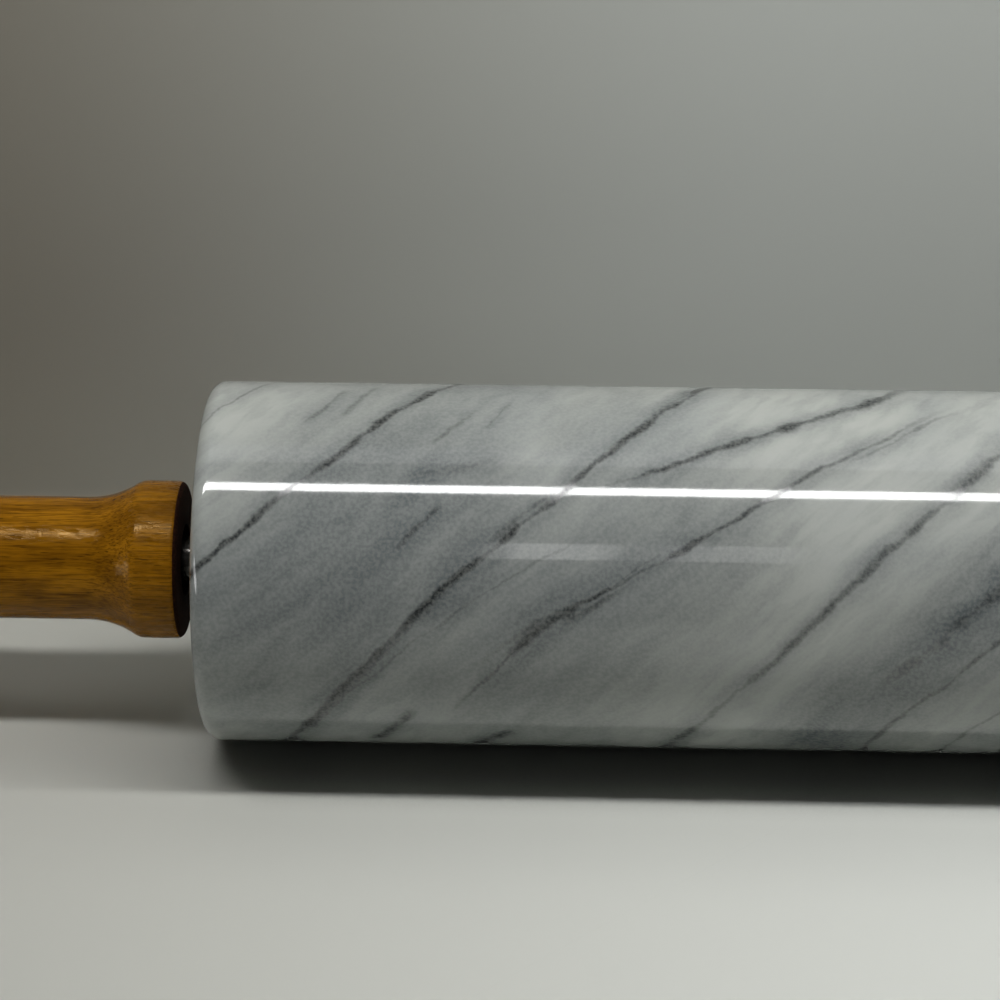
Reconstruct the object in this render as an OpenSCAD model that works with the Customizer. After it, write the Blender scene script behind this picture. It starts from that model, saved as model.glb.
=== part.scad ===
// Marble rolling pin. A polished marble barrel turns on a steel rod, which
// joins two turned wooden handles. Millimetres, the rod lies along X, and the
// origin is the middle of the barrel on its axis.

/* [Barrel] */
// Diameter of the marble barrel
barrel_d = 60; // [50:1:75]
// Length of the marble barrel
barrel_length = 254; // [200:2:300]
// Radius ground on the edge of each barrel end
barrel_edge_r = 2.5; // [1:0.5:6]
// Diameter of the hole cored through the marble
bore_d = 16; // [14:0.5:19]
// Chamfer that breaks the edge of the stone round each flange
arris = 0.5; // [0.2:0.1:1]

/* [Bushings] */
// Length of a bushing behind its flange
bushing_length = 26; // [18:1:40]
// Diameter of a bushing's flange
flange_d = 22; // [20.5:0.5:26]
// Thickness of a bushing's flange
flange_t = 2.5; // [1.5:0.1:4]
// How far the flange stands out of the marble, to keep the stone off the washer
flange_proud = 0.5; // [0.2:0.1:1]
// Gap all round between the rod and a bushing's bearing lands
running_gap = 0.05; // [0.02:0.01:0.1]
// Length of each bearing land, at the two ends of a bushing
land_length = 8; // [4:1:12]
// Depth of the grease pocket between the lands
grease_depth = 0.6; // [0.2:0.1:1.2]
// Glue grooves round a bushing
glue_grooves = 3; // [1:1:5]
// Width of a glue groove
glue_groove_w = 1.6; // [0.8:0.2:3]
// Depth of a glue groove
glue_groove_depth = 0.5; // [0.2:0.1:1]

/* [Rod] */
// Diameter of the steel rod
rod_d = 8; // [6:0.5:9.5]
// Depth of the rod's thread, from its crest to the mean diameter
thread_depth = 0.4; // [0.2:0.05:0.6]
// How far the thread runs on past each end of the brass insert
thread_lead = 1; // [0.5:0.25:1.25]
// Chamfer on the rod's two ends
rod_chamfer = 0.8; // [0.4:0.1:1.4]

/* [Washers and rings] */
// Outer diameter of a thrust washer
washer_d = 16; // [13:0.5:20]
// Thickness of a thrust washer
washer_t = 1.2; // [0.8:0.1:2]
// Gap all round between a washer and the rod
washer_gap = 0.1; // [0.05:0.05:0.3]
// Play along the rod between a bushing and its washer
end_float = 0.3; // [0.1:0.1:0.8]
// Thickness of a retaining ring
ring_t = 0.8; // [0.6:0.1:1.2]
// Width of a retaining ring's back
ring_w = 1.7; // [1.2:0.1:2.4]
// Depth of the groove that holds the ring
groove_depth = 0.25; // [0.1:0.05:0.5]
// Play of the ring in its groove
groove_play = 0.1; // [0.05:0.05:0.2]
// Diameter of the plier hole in each of the ring's two ears
plier_hole_d = 1.2; // [0.8:0.1:1.5]
// Width of an ear round its hole
ear_w = 0.9; // [0.6:0.1:1.2]
// Angle of the opening between the ears
ring_opening = 34; // [24:1:50]
// Bare rod between a retaining ring and its handle
bare_rod = 1.5; // [0.5:0.1:4]

/* [Handles] */
// Length of a handle
handle_length = 97; // [88:1:120]
// Diameter of the collar beside the barrel
collar_d = 26.3; // [24:0.1:30]
// Length of the collar
collar_length = 6.3; // [4:0.1:10]
// Radius on the collar's edge
collar_edge_r = 1.2; // [0.5:0.1:2.5]
// Radius of the shoulder where the collar rolls over into the cove
shoulder_r = 3.5; // [2:0.5:6]
// Length of the cove from the collar down to the neck
cove_length = 10; // [8:0.5:14]
// Diameter of the neck
neck_d = 20.5; // [18:0.1:22]
// Length of the straight neck
neck_length = 18; // [12:1:22]
// Diameter of the grip at its thickest place
grip_d = 27; // [25:0.5:32]
// Length from the grip's thickest place to the end of the handle
grip_end_length = 32.7; // [29:0.1:36]
// Share of the swell up to the grip that bulges, the rest of it being hollow
swell_bulge = 0.43; // [0.3:0.01:0.6]
// Radius of the long curve that draws the grip in towards its end
taper_r = 90; // [70:5:140]
// Radius of the domed end
dome_r = 22; // [18:1:30]
// Radius that rolls the grip over into the domed end
end_r = 5; // [3:0.5:6]

/* [Inserts] */
// Diameter over the barbs of the brass insert
insert_d = 12; // [11:0.2:14]
// Depth of the barbs
barb_depth = 0.6; // [0.3:0.1:0.7]
// Rows of barbs
barbs = 6; // [3:1:9]
// Length of the insert
insert_length = 22; // [16:1:30]
// How far the insert lies below the handle's inner face
insert_recess = 2.5; // [1.5:0.5:5]
// Gap all round between the wood and what it needn't grip
wood_gap = 0.3; // [0.1:0.05:0.6]
// Width of the two driver slots across the insert
slot_w = 1.6; // [1:0.2:2.4]
// Depth of the driver slots
slot_depth = 2; // [1:0.5:4]
// How far the rod stands out past the insert
rod_past = 2.5; // [1.5:0.5:6]
// Free length of the drilled hole past the rod's end
hole_past = 3; // [1:0.5:6]

/* [Hidden] */
$fn = 96;
left = -1;
right = 1;

barrel_r = barrel_d / 2;
half_barrel = barrel_length / 2;
bore_r = bore_d / 2;
flange_r = flange_d / 2;
rod_r = rod_d / 2;
thread_r = rod_r - thread_depth;
bearing_r = rod_r + running_gap;
groove_r = rod_r - groove_depth;
seat_depth = flange_t - flange_proud;
lead_in = 0.5; // chamfer that helps a piece into its hole

// Places along the rod, outwards from the barrel's end face
washer_x = flange_proud + end_float;
ring_x = washer_x + washer_t;
handle_x = ring_x + ring_t + bare_rod;
insert_x = handle_x + insert_recess;
rod_end_x = insert_x + insert_length + rod_past;

// Places along a handle, outwards from its inner face
collar_r = collar_d / 2;
neck_r = neck_d / 2;
grip_r = grip_d / 2;
neck_x = collar_length + cove_length;
swell_x = neck_x + neck_length;
crest_x = handle_length - grip_end_length;
swell_length = crest_x - swell_x;
insert_r = insert_d / 2;
core_r = insert_r - barb_depth;
drill_point_angle = 59; // between the drill's axis and its cutting edge
ring_thinning = 0.2; // half the share of its width that a ring loses from back to ears
ear_flat_share = 0.4; // share of an ear's width that the opening cuts flat
cut = 1; // how far a cut runs on past the face that it opens

// Turns an outline, drawn as distance along X and radius along Y, about X
module turned() {
    rotate([0, 90, 0]) rotate_extrude() mirror([1, -1, 0]) children();
}

// Sets a piece, drawn outwards from a barrel end face, at the left or right end
module at_end(side) {
    mirror([side == left ? 1 : 0, 0, 0]) translate([half_barrel, 0, 0]) children();
}

// A quarter disc whose corner is at the origin
module quarter_disc(r) {
    intersection() {
        circle(r);
        square(r);
    }
}

// The two radii of an S-shaped line added together, from its rise and length
function s_curve_radii(rise, length) = (length * length + rise * rise) / (2 * rise);

// The area under an S-shaped line, which leaves low_r level at X = 0 and
// reaches high_r level at X = length, in two arcs that meet without a corner
module s_curve(low_r, high_r, length, crest_r) {
    both_r = s_curve_radii(high_r - low_r, length);
    hollow_r = both_r - crest_r;
    hollow = [0, low_r + hollow_r];
    crest = [length, high_r - crest_r];
    meet = hollow + (crest - hollow) * hollow_r / both_r;
    difference() {
        square(meet);
        translate(hollow) circle(hollow_r);
    }
    intersection() {
        translate([meet.x, 0]) square([length - meet.x, high_r + cut]);
        union() {
            translate(crest) circle(crest_r);
            if (crest.y > 0) translate([meet.x, 0]) square([length - meet.x, crest.y]);
        }
    }
}

// The upper point where a circle of radius ra round a meets one of rb round b
function circles_meet(a, ra, b, rb) =
    let (between = b - a,
         d = norm(between),
         along = (d * d + ra * ra - rb * rb) / (2 * d),
         aside = sqrt(ra * ra - along * along))
    a + (between * along + [-between.y, between.x] * aside) / d;

// The area under the end of the grip, from its thickest place to its dome
module grip_end(length) {
    taper = [0, grip_r - taper_r];
    dome = [length - dome_r, 0];
    roll = circles_meet(dome, dome_r - end_r, taper, taper_r - end_r);
    on_taper = taper + (roll - taper) * taper_r / (taper_r - end_r);
    on_dome = dome + (roll - dome) * dome_r / (dome_r - end_r);
    intersection() {
        square([on_taper.x, grip_r + cut]);
        translate(taper) circle(taper_r);
    }
    polygon([[on_taper.x, 0], [on_dome.x, 0], on_dome, roll, on_taper]);
    intersection() {
        polygon([roll, 2 * on_dome - roll, [on_dome.x + end_r, on_taper.y + end_r],
                 2 * on_taper - roll]);
        translate(roll) circle(end_r);
    }
    intersection() {
        translate([on_dome.x, 0]) square([length - on_dome.x + cut, on_dome.y]);
        translate(dome) circle(dome_r);
    }
}

// Marble barrel

module barrel_outline() {
    inner_r = barrel_r - barrel_edge_r;
    straight = half_barrel - barrel_edge_r;
    translate([-half_barrel, 0]) square([barrel_length, inner_r]);
    translate([-straight, inner_r]) square([2 * straight, barrel_edge_r]);
    for (side = [left, right])
        mirror([side == left ? 1 : 0, 0]) translate([straight, inner_r]) quarter_disc(barrel_edge_r);
}

// What the stone loses at one end: the flange's seat, with a broken edge
module flange_seat() {
    polygon([[-seat_depth, 0], [-seat_depth, flange_r], [-arris, flange_r],
             [0, flange_r + arris], [cut, flange_r + arris], [cut, 0]]);
}

module marble_barrel() {
    color("gainsboro") turned() difference() {
        barrel_outline();
        translate([-half_barrel - cut, -cut]) square([barrel_length + 2 * cut, bore_r + cut]);
        for (side = [left, right])
            mirror([side == left ? 1 : 0, 0]) translate([half_barrel, 0]) flange_seat();
    }
}

// Nylon bushings, pressed and glued into the marble

module bushing_hole() {
    far = -seat_depth - bushing_length;
    pocket = [far + land_length, flange_proud - land_length];
    polygon([[far, 0], [far, bearing_r + lead_in], [far + lead_in, bearing_r], [pocket[0], bearing_r],
             [pocket[0] + grease_depth, bearing_r + grease_depth],
             [pocket[1] - grease_depth, bearing_r + grease_depth], [pocket[1], bearing_r],
             [flange_proud - lead_in, bearing_r], [flange_proud, bearing_r + lead_in], [flange_proud, 0]]);
}

module bushing(side) {
    far = -seat_depth - bushing_length;
    pitch = bushing_length / (glue_grooves + 1);
    color("ivory") at_end(side) turned() difference() {
        polygon([[far, 0], [far, bore_r - lead_in], [far + lead_in, bore_r], [-seat_depth, bore_r],
                 [-seat_depth, flange_r], [flange_proud, flange_r], [flange_proud, 0]]);
        for (i = [1:glue_grooves])
            translate([far + i * pitch - glue_groove_w / 2, bore_r - glue_groove_depth])
                square([glue_groove_w, glue_groove_depth + cut]);
        bushing_hole();
    }
}

// Steel rod, one straight bar with a ring groove and a thread at each end

module axle_rod() {
    ring_out = half_barrel + ring_x + ring_t;
    ring_in = ring_out - ring_t - groove_play;
    thread_x = half_barrel + insert_x - thread_lead;
    end_x = half_barrel + rod_end_x;
    half = [[ring_in, rod_r], [ring_in, groove_r], [ring_out, groove_r], [ring_out, rod_r],
            [thread_x - thread_depth, rod_r], [thread_x, thread_r],
            [end_x - rod_chamfer, thread_r], [end_x, thread_r - rod_chamfer], [end_x, 0]];
    other_half = [for (i = [len(half) - 1:-1:0]) [-half[i].x, half[i].y]];
    color("silver") turned() polygon(concat(other_half, half));
}

// Thrust washers, which the bushings' flanges turn against

module thrust_washer(side) {
    color("lightgray") at_end(side) turned()
        translate([washer_x, rod_r + washer_gap])
            square([washer_t, washer_d / 2 - rod_r - washer_gap]);
}

// Retaining rings, snapped into the rod's grooves. The back is the widest
// place, and the ring thins towards its two eared tips

module ring_face() {
    ear_r = plier_hole_d / 2 + ear_w;
    ear_reach = groove_r + ear_r;
    ear_angle = ring_opening / 2 + asin((ear_r - ear_w * ear_flat_share) / ear_reach);
    opening_y = 2 * ear_reach;
    opening_x = opening_y * tan(ring_opening / 2);
    difference() {
        union() {
            translate([0, -ring_w * ring_thinning]) circle(groove_r + ring_w * (1 - ring_thinning));
            for (turn = [-1, 1]) rotate(turn * ear_angle) translate([0, ear_reach]) circle(ear_r);
        }
        circle(groove_r);
        for (turn = [-1, 1]) rotate(turn * ear_angle) translate([0, ear_reach]) circle(d = plier_hole_d);
        polygon([[0, 0], [opening_x, opening_y], [-opening_x, opening_y]]);
    }
}

module retaining_ring(side) {
    color("dimgray") at_end(side) translate([ring_x, 0, 0])
        rotate([90, 0, 90]) linear_extrude(ring_t) ring_face();
}

// Brass inserts, pressed into the handles and screwed on to the rod

module insert_outline() {
    pitch = insert_length / barbs;
    square([insert_length, core_r]);
    for (i = [0:barbs - 1])
        translate([i * pitch, 0])
            polygon([[0, 0], [pitch, 0], [pitch, core_r], [pitch / 3, insert_r], [0, insert_r]]);
}

module handle_insert(side) {
    color("goldenrod") at_end(side) translate([insert_x, 0, 0]) difference() {
        turned() difference() {
            insert_outline();
            translate([-cut, -cut]) square([insert_length + 2 * cut, thread_r + cut]);
        }
        for (turn = [0, 90])
            rotate([turn, 0, 0]) translate([-cut, -slot_w / 2, -insert_d])
                cube([slot_depth + cut, slot_w, 2 * insert_d]);
    }
}

// Turned wooden handles

module handle_outline() {
    swell_r = swell_bulge * s_curve_radii(grip_r - neck_r, swell_length);
    translate([collar_edge_r, collar_r - collar_edge_r])
        mirror([1, 0]) quarter_disc(collar_edge_r);
    square([collar_edge_r, collar_r - collar_edge_r]);
    translate([collar_edge_r, 0]) square([collar_length - collar_edge_r, collar_r]);
    translate([neck_x, 0]) mirror([1, 0]) s_curve(neck_r, collar_r, cove_length, shoulder_r);
    translate([neck_x, 0]) square([neck_length, neck_r]);
    translate([swell_x, 0]) s_curve(neck_r, grip_r, swell_length, swell_r);
    translate([crest_x, 0]) grip_end(grip_end_length);
}

// The hole drilled into a handle: a mouth for the insert, then the rod's tip
module handle_hole() {
    tip_r = rod_r + wood_gap;
    hole_end = rod_end_x - handle_x + hole_past;
    translate([-cut, 0]) square([insert_recess + cut, insert_r]);
    translate([insert_recess, 0]) insert_outline();
    polygon([[insert_recess, 0], [hole_end + tip_r / tan(drill_point_angle), 0], [hole_end, tip_r],
             [insert_recess + insert_length, tip_r], [insert_recess, thread_r]]);
}

module handle(side) {
    color("peru") at_end(side) translate([handle_x, 0, 0]) turned() difference() {
        handle_outline();
        handle_hole();
    }
}

marble_barrel();
bushing(left);  // bushing_left
bushing(right);  // bushing_right
axle_rod();
thrust_washer(left);  // thrust_washer_left
thrust_washer(right);  // thrust_washer_right
retaining_ring(left);  // retaining_ring_left
retaining_ring(right);  // retaining_ring_right
handle_insert(left);  // handle_insert_left
handle_insert(right);  // handle_insert_right
handle(left);  // handle_left
handle(right);  // handle_right
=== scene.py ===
"""Looks of a marble rolling pin: a veined stone barrel on a steel rod between two lacquered wooden handles.

Metres, in the frame of the CAD model: the rod lies along X, +Z is up, and the origin is the middle of the
barrel on its axis. Sizes of pieces are written in millimetres, and patterns read Object coordinates in
millimetres too.
"""

import logging
import math
from collections.abc import Callable
from dataclasses import dataclass, field
from enum import Enum

import bmesh
import bpy
from mathutils import Matrix, Vector


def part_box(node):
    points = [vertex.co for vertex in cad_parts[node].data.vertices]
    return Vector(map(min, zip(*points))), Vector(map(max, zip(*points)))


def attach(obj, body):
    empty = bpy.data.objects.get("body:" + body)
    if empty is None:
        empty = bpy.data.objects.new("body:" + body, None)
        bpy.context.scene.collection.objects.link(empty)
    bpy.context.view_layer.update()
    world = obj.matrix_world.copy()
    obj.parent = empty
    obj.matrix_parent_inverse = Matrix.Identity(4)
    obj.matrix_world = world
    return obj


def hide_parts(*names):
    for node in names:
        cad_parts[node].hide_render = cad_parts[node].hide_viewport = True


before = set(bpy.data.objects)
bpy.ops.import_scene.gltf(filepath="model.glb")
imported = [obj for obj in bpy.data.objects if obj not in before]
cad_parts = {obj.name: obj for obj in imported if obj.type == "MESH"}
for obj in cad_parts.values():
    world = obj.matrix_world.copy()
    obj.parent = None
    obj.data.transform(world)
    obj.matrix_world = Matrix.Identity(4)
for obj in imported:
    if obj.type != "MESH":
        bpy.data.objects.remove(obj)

MM = 0.001
# A handle stays this much, in millimetres, inside the CAD model's, so that rounding can't push it out.
ROUNDING = 0.001
log = logging.getLogger("rolling_pin")

Tree = bpy.types.NodeTree
Node = bpy.types.Node
Socket = bpy.types.NodeSocket
Piece = bpy.types.Object
Material = bpy.types.Material
Inputs = dict[str | int, object]
Point = tuple[float, float]
Size = tuple[float, float, float]


class End(Enum):
    """The two ends of the rolling pin, by their direction along X."""

    LEFT = -1
    RIGHT = 1

    @property
    def word(self) -> str:
        """The end's name as the CAD nodes write it."""
        return self.name.lower()


def linear(hex_colour: str) -> tuple[float, float, float, float]:
    """Turns an sRGB colour into the linear one that a shader takes.

    Args:
        hex_colour: Six hex digits after a hash sign.

    Returns:
        Red, green, blue and alpha, linear.
    """
    parts = [int(hex_colour[i:i + 2], 16) / 255 for i in (1, 3, 5)]
    low = 0.04045
    return (*[c / 12.92 if c <= low else ((c + 0.055) / 1.055) ** 2.4 for c in parts], 1.0)


def fill(node: Node, inputs: Inputs) -> Node:
    """Links or sets a node's inputs.

    Args:
        node: The node.
        inputs: For each input, by its name or by its number among those in use, the socket or node to link,
            or the value to set. A node stands for its first output.

    Returns:
        The node.
    """
    used = [socket for socket in node.inputs if socket.enabled]
    for key, value in inputs.items():
        socket = used[key] if isinstance(key, int) else next(s for s in used if s.name == key)
        if isinstance(value, Node):
            value = next(s for s in value.outputs if s.enabled)
        if isinstance(value, Socket):
            node.id_data.links.new(value, socket)
        else:
            socket.default_value = value
    return node


def add_node(tree: Tree, kind: str, inputs: Inputs | None = None, **settings: object) -> Node:
    """Adds a node with its settings, and links or sets its inputs.

    Args:
        tree: The tree that gets the node.
        kind: The node's type.
        inputs: The inputs, as fill takes them.
        **settings: The node's own properties.

    Returns:
        The new node.
    """
    node = tree.nodes.new(kind)
    for name, value in settings.items():
        setattr(node, name, value)
    return fill(node, inputs or {})


# Geometry Nodes

def new_tree(name: str, inputs: dict[str, str]) -> tuple[Tree, dict[str, Socket]]:
    """Makes an empty Geometry Nodes tree with named inputs and one geometry output.

    Args:
        name: The tree's name.
        inputs: For each input, its socket type.

    Returns:
        The tree, and its inputs' sockets by name.
    """
    tree = bpy.data.node_groups.new(name, "GeometryNodeTree")
    for label, kind in inputs.items():
        tree.interface.new_socket(label, in_out="INPUT", socket_type=kind)
    tree.interface.new_socket("Geometry", in_out="OUTPUT", socket_type="NodeSocketGeometry")
    return tree, add_node(tree, "NodeGroupInput").outputs


def end_tree(tree: Tree, geometry: Node, finish: Socket) -> None:
    """Closes a tree with Realize Instances and Set Material.

    Args:
        tree: The tree to close.
        geometry: What the tree has made.
        finish: The material input.
    """
    real = add_node(tree, "GeometryNodeRealizeInstances", {"Geometry": geometry})
    dressed = add_node(tree, "GeometryNodeSetMaterial", {"Geometry": real, "Material": finish})
    add_node(tree, "NodeGroupOutput", {"Geometry": dressed})


def lathe_tree() -> Tree:
    """A lathe: carries an outline, with X outwards and Y along the axis, round the model's X axis.

    Returns:
        The tree.
    """
    tree, given = new_tree("Lathe", {
        "Outline": "NodeSocketGeometry", "Facets": "NodeSocketInt", "Finish": "NodeSocketMaterial",
    })
    # The circle that carries the outline is far smaller than the distance at which points are merged.
    hair = MM * MM
    axis = add_node(tree, "GeometryNodeCurvePrimitiveCircle", {
        "Resolution": given["Facets"], "Radius": hair / 10,
    })
    outline = add_node(tree, "GeometryNodeMeshToCurve", {"Mesh": given["Outline"]})
    skin = add_node(tree, "GeometryNodeCurveToMesh", {"Curve": axis, "Profile Curve": outline})
    closed = add_node(tree, "GeometryNodeMergeByDistance", {"Geometry": skin, "Distance": hair})
    lying = add_node(tree, "GeometryNodeTransform", {
        "Geometry": closed, "Rotation": (0.0, -math.pi / 2, 0.0),
    })
    end_tree(tree, lying, given["Finish"])
    return tree


def thread_tree(steps: int = 48) -> Tree:
    """A screw thread: winds one ridge along X from the origin, with the ridge's section as its outline.

    Args:
        steps: How many straight steps one turn has.

    Returns:
        The tree.
    """
    tree, given = new_tree("Thread", {
        "Outline": "NodeSocketGeometry", "Turns": "NodeSocketFloat", "Radius": "NodeSocketFloat",
        "Length": "NodeSocketFloat", "Finish": "NodeSocketMaterial",
    })
    winding = add_node(tree, "GeometryNodeCurveSpiral", {
        "Resolution": steps, "Rotations": given["Turns"], "Start Radius": given["Radius"],
        "End Radius": given["Radius"], "Height": given["Length"],
    })
    upright = add_node(tree, "GeometryNodeSetCurveNormal", {"Curve": winding}, mode="Z_UP")
    section = add_node(tree, "GeometryNodeMeshToCurve", {"Mesh": given["Outline"]})
    ridge = add_node(tree, "GeometryNodeCurveToMesh", {
        "Curve": upright, "Profile Curve": section, "Fill Caps": True,
    })
    lying = add_node(tree, "GeometryNodeTransform", {"Geometry": ridge, "Rotation": (0.0, math.pi / 2, 0.0)})
    end_tree(tree, lying, given["Finish"])
    return tree


def grow(name: str, source: bpy.types.Mesh, tree: Tree, values: dict[str, object]) -> Piece:
    """Runs a Geometry Nodes tree, and keeps its result as a plain mesh.

    Args:
        name: The piece's name.
        source: The mesh that the tree starts from.
        tree: The tree.
        values: The tree's inputs, by name.

    Returns:
        The finished piece, at the origin.
    """
    maker = bpy.data.objects.new(name + ".maker", source)
    bpy.context.scene.collection.objects.link(maker)
    modifier = maker.modifiers.new("Shape", "NODES")
    modifier.node_group = tree
    for item in tree.interface.items_tree:
        if item.in_out == "INPUT" and item.name in values:
            modifier[item.identifier] = values[item.name]
    graph = bpy.context.evaluated_depsgraph_get()
    mesh = bpy.data.meshes.new_from_object(maker.evaluated_get(graph))
    maker.modifiers.remove(modifier)
    bpy.data.objects.remove(maker)
    mesh.name = name
    piece = bpy.data.objects.new(name, mesh)
    bpy.context.scene.collection.objects.link(piece)
    return piece


def smooth(piece: Piece, corner: float = 30.0) -> None:
    """Points a closed piece's faces outwards and shades it smooth, apart from its corners.

    Args:
        piece: The piece.
        corner: The least angle, in degrees, that still shows as a corner.
    """
    form = bmesh.new()
    form.from_mesh(piece.data)
    bmesh.ops.recalc_face_normals(form, faces=form.faces)
    form.to_mesh(piece.data)
    form.free()
    piece.data.shade_smooth()
    piece.data.set_sharp_from_angle(angle=math.radians(corner))


@dataclass
class Outline:
    """The half section of a turned piece, as a line of points in millimetres: along the axis, and from it.

    Its arcs have a point at least every so many degrees, which is its step.
    """

    points: list[Point] = field(default_factory=list)
    step: float = 4.0

    def line(self, *ends: Point) -> None:
        """Goes straight to each of the given points."""
        self.points.extend(ends)

    def arc(self, centre: Point, end: Point) -> None:
        """Goes to a point along the shorter arc round a centre.

        Args:
            centre: The arc's centre.
            end: Where the arc stops, as far from the centre as its start.
        """
        start = self.points[-1]
        radius = math.dist(centre, start)
        first = math.atan2(start[1] - centre[1], start[0] - centre[0])
        sweep = math.atan2(end[1] - centre[1], end[0] - centre[0]) - first
        sweep = (sweep + math.pi) % math.tau - math.pi
        parts = max(2, math.ceil(abs(math.degrees(sweep)) / self.step))
        for i in range(1, parts):
            angle = first + sweep * i / parts
            self.points.append((centre[0] + radius * math.cos(angle), centre[1] + radius * math.sin(angle)))
        self.points.append(end)

    def s_curve(self, end: Point, bulge: float) -> None:
        """Goes to a point in two arcs that are level at both ends and meet without a corner.

        Args:
            end: Where the curve stops.
            bulge: The radius of the arc at the higher end.
        """
        x, r = self.points[-1]
        rise, run = end[1] - r, end[0] - x
        both = (run * run + rise * rise) / (2 * abs(rise))
        first = bulge if rise < 0 else both - bulge
        up = math.copysign(1, rise)
        near, far = (x, r + up * first), (end[0], end[1] - up * (both - first))
        share = first / both
        meet = (near[0] + (far[0] - near[0]) * share, near[1] + (far[1] - near[1]) * share)
        self.arc(near, meet)
        self.arc(far, end)

    def turn(self, name: str, lathe: Tree, facets: int, finish: Material,
             place: Callable[[float], float] = float) -> Piece:
        """Turns the outline on the lathe. One that starts on the axis also ends there, and others are closed.

        Args:
            name: The piece's name.
            lathe: The lathe.
            facets: How many facets go round the piece.
            finish: The piece's material.
            place: Gives the model's X, in millimetres, of a place along the outline.

        Returns:
            The turned piece.
        """
        count = len(self.points)
        edges = [(i, (i + 1) % count) for i in range(count)]
        if self.points[0][1] == 0:
            edges.pop()
        mesh = bpy.data.meshes.new(name + ".outline")
        mesh.from_pydata([(r * MM, place(x) * MM, 0) for x, r in self.points], edges, [])
        piece = grow(name, mesh, lathe, {"Facets": facets, "Finish": finish})
        smooth(piece)
        return piece


# Finishes

@dataclass(frozen=True)
class Pattern:
    """Cloudy noise in a surface: its size along each axis in millimetres, and how the noise shows.

    The noise runs from 0 to 1. Below low it shows its least, above high its most, and it changes smoothly
    in between.
    """

    size: Size
    low: float = 0.3
    high: float = 0.7
    least: float = 0.0
    most: float = 1.0
    detail: float = 3.0
    rough: float = 0.5

    def noise(self, tree: Tree, point: Node) -> Node:
        """Adds the noise alone.

        Args:
            tree: The tree.
            point: The point on the object in millimetres.

        Returns:
            The noise at the point.
        """
        scale = tuple(1 / s for s in self.size)
        scaled = add_node(tree, "ShaderNodeVectorMath", {0: point, 1: scale}, operation="MULTIPLY")
        return add_node(tree, "ShaderNodeTexNoise", {
            "Vector": scaled, "Scale": 1.0, "Detail": self.detail, "Roughness": self.rough,
        })

    def add(self, tree: Tree, point: Node) -> Node:
        """Adds the pattern to a material's tree.

        Args:
            tree: The tree.
            point: The point on the object in millimetres.

        Returns:
            How much of the pattern shows at the point.
        """
        return add_node(tree, "ShaderNodeMapRange", {
            "Value": self.noise(tree, point), "From Min": self.low, "From Max": self.high,
            "To Min": self.least, "To Max": self.most,
        }, interpolation_type="SMOOTHSTEP")


@dataclass(frozen=True)
class Finish:
    """What every finish shares: a name, and the way that a material starts."""

    name: str

    def material(self) -> Material:
        """Makes the material.

        Returns:
            The material, whose main shader the finish has dressed.
        """
        material = bpy.data.materials.new(self.name)
        material.use_nodes = True
        tree = material.node_tree
        shader = next(n for n in tree.nodes if n.type == "BSDF_PRINCIPLED")
        place = add_node(tree, "ShaderNodeTexCoord").outputs["Object"]
        point = add_node(tree, "ShaderNodeVectorMath", {0: place, "Scale": 1 / MM}, operation="SCALE")
        self.dress(tree, shader, point)
        return material

    def dress(self, tree: Tree, shader: Node, point: Node) -> None:
        """Gives the shader its colour, gloss and relief.

        Args:
            tree: The material's tree.
            shader: The main shader.
            point: The point on the object in millimetres.
        """
        raise NotImplementedError

    def tint(self, tree: Tree, point: Node, ground: Node | tuple, *tints: tuple[Pattern, str]) -> Node:
        """Lays colours over a ground, each where its pattern shows.

        Args:
            tree: The material's tree.
            point: The point on the object in millimetres.
            ground: The colour underneath.
            *tints: Each pattern with its colour.

        Returns:
            The colour with all of them laid over it.
        """
        for pattern, colour in tints:
            ground = add_node(tree, "ShaderNodeMix", {
                "Factor": pattern.add(tree, point), "A": ground, "B": linear(colour),
            }, data_type="RGBA")
        return ground


@dataclass(frozen=True)
class Vein:
    """One sheet of darker mineral in the stone, which the surface cuts as a line.

    The sheet passes through the surface so far along the rod, and so many degrees up round the barrel from
    its front. It leans along the rod by lean for each millimetre up, and by slant for each millimetre back.
    Core and halo are how far each goes to both sides, and dark and haze how much of it shows. The vein fades
    towards the end of its reach. A grey zone has only a halo.
    """

    along: float
    round: float
    lean: float = 0.95
    slant: float = 0.5
    core: float = 0.0
    dark: float = 0.0
    halo: float = 2.5
    haze: float = 0.2
    reach: float = 400.0

    def values(self, radius: float) -> dict[str, object]:
        """What the vein group takes.

        Args:
            radius: The barrel's radius.

        Returns:
            The value of each input, with the sheet's normal made one long.
        """
        angle = math.radians(self.round)
        middle = Vector((self.along, -radius * math.cos(angle), radius * math.sin(angle)))
        normal = Vector((1.0, -self.slant, -self.lean)).normalized()
        return {
            "Sheet": normal, "At": normal.dot(middle), "Core": self.core, "Dark": self.dark,
            "Halo": self.halo, "Haze": self.haze, "Middle": middle, "Reach": self.reach,
        }


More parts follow.
